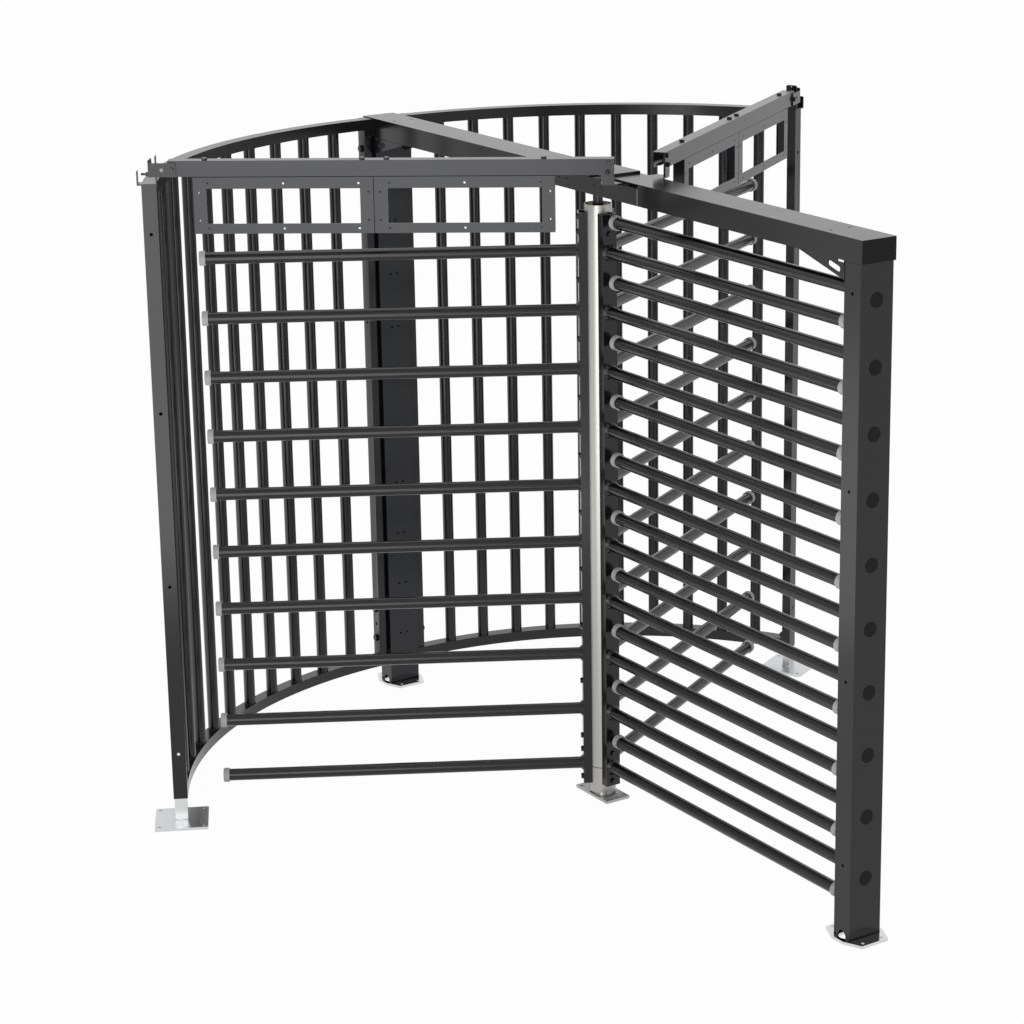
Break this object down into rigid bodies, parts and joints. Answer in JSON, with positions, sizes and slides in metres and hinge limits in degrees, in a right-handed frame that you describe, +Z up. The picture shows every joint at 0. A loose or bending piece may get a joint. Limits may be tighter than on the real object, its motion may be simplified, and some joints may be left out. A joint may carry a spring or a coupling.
{
  "type": "full height turnstile",
  "caption": "Full height pedestrian turnstile: a three-wing barred rotor turns between a fixed comb and curved cage panels under an overhead beam.",
  "frame": {"origin": "on the rotor's axis at floor level, the centre of the floor pivot's underside", "axes": "+Z up; +X along the overhead beam from the rotor to the comb column; +Y the walking direction of one passage"},
  "size_m": [3.102, 2.9858, 2.393],
  "materials": {
    "black_powder_coat": "satin black powder coat",
    "brushed_stainless": "brushed lengthwise",
    "stainless_plate": "polished flat plate",
    "galvanised_steel": "bright zinc coat",
    "zinc_plated_steel": "zinc plated",
    "ground_steel": "ground",
    "black_oxide_steel": "black oxide",
    "bearing_bronze": "machined",
    "grey_plastic": "fine matt moulded",
    "black_plastic": "fine matt moulded"
  },
  "bodies": {
    "frame": {"beam_gussets": "black_powder_coat", "cage_bolts": "black_powder_coat", "column_plugs": "black_plastic", "comb_end_caps": "grey_plastic", "comb_tubes": "black_powder_coat", "front_column": "black_powder_coat", "front_column_base_plate": "stainless_plate", "head_cover": "black_powder_coat", "head_side_panels": "black_powder_coat", "header_bolts": "black_powder_coat", "left_cage_bars": "black_powder_coat", "left_cage_bottom_rail": "black_powder_coat", "left_cage_end_flanges": "black_powder_coat", "left_cage_top_rail": "black_powder_coat", "left_header": "black_powder_coat", "left_header_beam_bracket": "black_powder_coat", "left_header_post_bracket": "black_powder_coat", "left_post": "black_powder_coat", "left_post_foot": "galvanised_steel", "left_sign_frames": "black_powder_coat", "lock_solenoids": "zinc_plated_steel", "mechanism_plate": "zinc_plated_steel", "overhead_beam": "black_powder_coat", "pawl_pins": "zinc_plated_steel", "pivot_base_plate": "stainless_plate", "pivot_pin": "ground_steel", "rear_column": "black_powder_coat", "rear_column_base_plate": "stainless_plate", "right_cage_bars": "black_powder_coat", "right_cage_bottom_rail": "black_powder_coat", "right_cage_end_flanges": "black_powder_coat", "right_cage_top_rail": "black_powder_coat", "right_header": "black_powder_coat", "right_header_beam_bracket": "black_powder_coat", "right_header_post_bracket": "black_powder_coat", "right_post": "black_powder_coat", "right_post_foot": "galvanised_steel", "right_sign_frames": "black_powder_coat", "upper_bearing": "ground_steel", "upper_bearing_housing": "zinc_plated_steel"},
    "rotor": {"rotor_core": "brushed_stainless", "rotor_lower_sleeve": "brushed_stainless", "lower_bearing": "bearing_bronze", "rotor_top_flange": "zinc_plated_steel", "rotor_shaft": "black_oxide_steel", "lock_disc": "black_oxide_steel", "wing_1_rail": "black_powder_coat", "wing_2_rail": "black_powder_coat", "wing_3_rail": "black_powder_coat", "wing_1_tubes": "black_powder_coat", "wing_2_tubes": "black_powder_coat", "wing_3_tubes": "black_powder_coat", "wing_end_caps": "grey_plastic", "rail_bolts": "black_powder_coat"},
    "entry_pawl": {"entry_pawl": "black_oxide_steel"},
    "exit_pawl": {"exit_pawl": "black_oxide_steel"},
    "entry_plunger": {"entry_plunger": "ground_steel"},
    "exit_plunger": {"exit_plunger": "ground_steel"}
  },
  "joints": [
    {"name": "rotor_spin", "type": "hinge", "parent": "frame", "child": "rotor", "pos_m": [0, 0, 1], "axis": [0, 0, 1], "continuous": true},
    {"name": "exit_pawl_swing", "type": "hinge", "parent": "frame", "child": "exit_pawl", "pos_m": [0.07, 0.042, 2.259], "axis": [0, 0, 1], "range_deg": [-14, 0]},
    {"name": "entry_pawl_swing", "type": "hinge", "parent": "frame", "child": "entry_pawl", "pos_m": [-0.07, 0.042, 2.259], "axis": [0, 0, 1], "range_deg": [0, 14]},
    {"name": "exit_plunger_slide", "type": "slide", "parent": "frame", "child": "exit_plunger", "axis": [1, 0, 0], "range_m": [-0.0105, 0]},
    {"name": "entry_plunger_slide", "type": "slide", "parent": "frame", "child": "entry_plunger", "axis": [1, 0, 0], "range_m": [0, 0.0105]}
  ],
  "couplings": [
    {"joint": "exit_plunger_slide", "follows": "exit_pawl_swing", "m_per_rad": 0.042},
    {"joint": "entry_plunger_slide", "follows": "entry_pawl_swing", "m_per_rad": 0.042}
  ]
}
